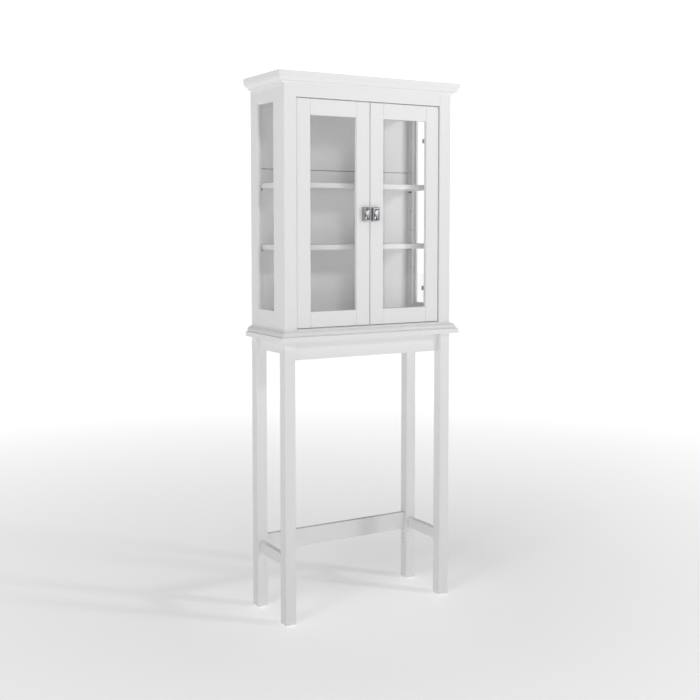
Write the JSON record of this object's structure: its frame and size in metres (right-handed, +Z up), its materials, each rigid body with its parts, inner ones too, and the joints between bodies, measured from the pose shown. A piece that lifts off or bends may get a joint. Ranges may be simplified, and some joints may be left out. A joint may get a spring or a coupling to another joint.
{
  "type": "over the toilet storage rack",
  "caption": "Tall free-standing rack: a crown-moulded cabinet with glazed doors and sides on an open four-legged stand that straddles a toilet.",
  "frame": {"origin": "on the floor, midway between the two sides and midway between the wall plane and the front edge of the waist slab", "axes": "+Z up, the doors face -Y and open towards -Y, the wall is on +Y, +X to the right as seen from the front"},
  "size_m": [0.6604, 0.2604, 1.7018],
  "materials": {
    "painted_wood": "white satin paint over wood and fibreboard",
    "clear_glass": "clear float glass",
    "crystal": "cut clear crystal",
    "handle_chrome": "polished",
    "hinge_steel": "nickel plated, satin",
    "catch_plastic": "white moulded"
  },
  "bodies": {
    "cabinet": {"leg_front_left": "painted_wood", "leg_front_right": "painted_wood", "leg_rear_left": "painted_wood", "leg_rear_right": "painted_wood", "apron_front": "painted_wood", "apron_rear": "painted_wood", "apron_left": "painted_wood", "apron_right": "painted_wood", "stretcher_left": "painted_wood", "stretcher_right": "painted_wood", "stretcher_rear": "painted_wood", "waist_slab": "painted_wood", "waist_mould_front": "painted_wood", "waist_mould_left": "painted_wood", "waist_mould_right": "painted_wood", "cabinet_floor": "painted_wood", "top_board": "painted_wood", "back_panel": "painted_wood", "wall_rail": "painted_wood", "frame_stile_left": "painted_wood", "frame_stile_right": "painted_wood", "frame_top_rail": "painted_wood", "frame_bottom_rail": "painted_wood", "side_left_front_stile": "painted_wood", "side_left_rear_stile": "painted_wood", "side_left_top_rail": "painted_wood", "side_left_bottom_rail": "painted_wood", "side_left_glass": "clear_glass", "side_right_front_stile": "painted_wood", "side_right_rear_stile": "painted_wood", "side_right_top_rail": "painted_wood", "side_right_bottom_rail": "painted_wood", "side_right_glass": "clear_glass", "crown_front": "painted_wood", "crown_left": "painted_wood", "crown_right": "painted_wood", "shelf_pins": "hinge_steel", "door_catches": "catch_plastic", "hinge_blocks": "painted_wood", "hinge_arms": "hinge_steel"},
    "left_door": {"left_door_hinge_stile": "painted_wood", "left_door_meeting_stile": "painted_wood", "left_door_top_rail": "painted_wood", "left_door_bottom_rail": "painted_wood", "left_door_glass": "clear_glass", "left_handle_mount": "handle_chrome", "left_handle_crystal": "crystal", "left_hinge_cups": "hinge_steel"},
    "right_door": {"right_door_hinge_stile": "painted_wood", "right_door_meeting_stile": "painted_wood", "right_door_top_rail": "painted_wood", "right_door_bottom_rail": "painted_wood", "right_door_glass": "clear_glass", "right_handle_mount": "handle_chrome", "right_handle_crystal": "crystal", "right_hinge_cups": "hinge_steel"},
    "left_links": {"left_hinge_links": "hinge_steel"},
    "right_links": {"right_hinge_links": "hinge_steel"},
    "upper_shelf": {"upper_shelf": "painted_wood"},
    "lower_shelf": {"lower_shelf": "painted_wood"}
  },
  "joints": [
    {"name": "left_door_swing", "type": "hinge", "parent": "cabinet", "child": "left_door", "pos_m": [-0.257, -0.098, 1.27485], "axis": [0, 0, -1], "range_deg": [0, 100]},
    {"name": "right_door_swing", "type": "hinge", "parent": "cabinet", "child": "right_door", "pos_m": [0.257, -0.098, 1.27485], "axis": [0, 0, 1], "range_deg": [0, 100]},
    {"name": "left_link_swing", "type": "hinge", "parent": "cabinet", "child": "left_links", "pos_m": [-0.2604, -0.0792, 1.27485], "axis": [0, 0, -1], "range_deg": [0, 50]},
    {"name": "right_link_swing", "type": "hinge", "parent": "cabinet", "child": "right_links", "pos_m": [0.2604, -0.0792, 1.27485], "axis": [0, 0, 1], "range_deg": [0, 50]},
    {"name": "upper_shelf_lift", "type": "slide", "parent": "cabinet", "child": "upper_shelf", "axis": [0, 0, 1], "range_m": [0, 0.04]},
    {"name": "lower_shelf_lift", "type": "slide", "parent": "cabinet", "child": "lower_shelf", "axis": [0, 0, 1], "range_m": [0, 0.04]}
  ],
  "couplings": [
    {"joint": "left_link_swing", "follows": "left_door_swing", "ratio": 0.49},
    {"joint": "right_link_swing", "follows": "right_door_swing", "ratio": 0.49}
  ]
}
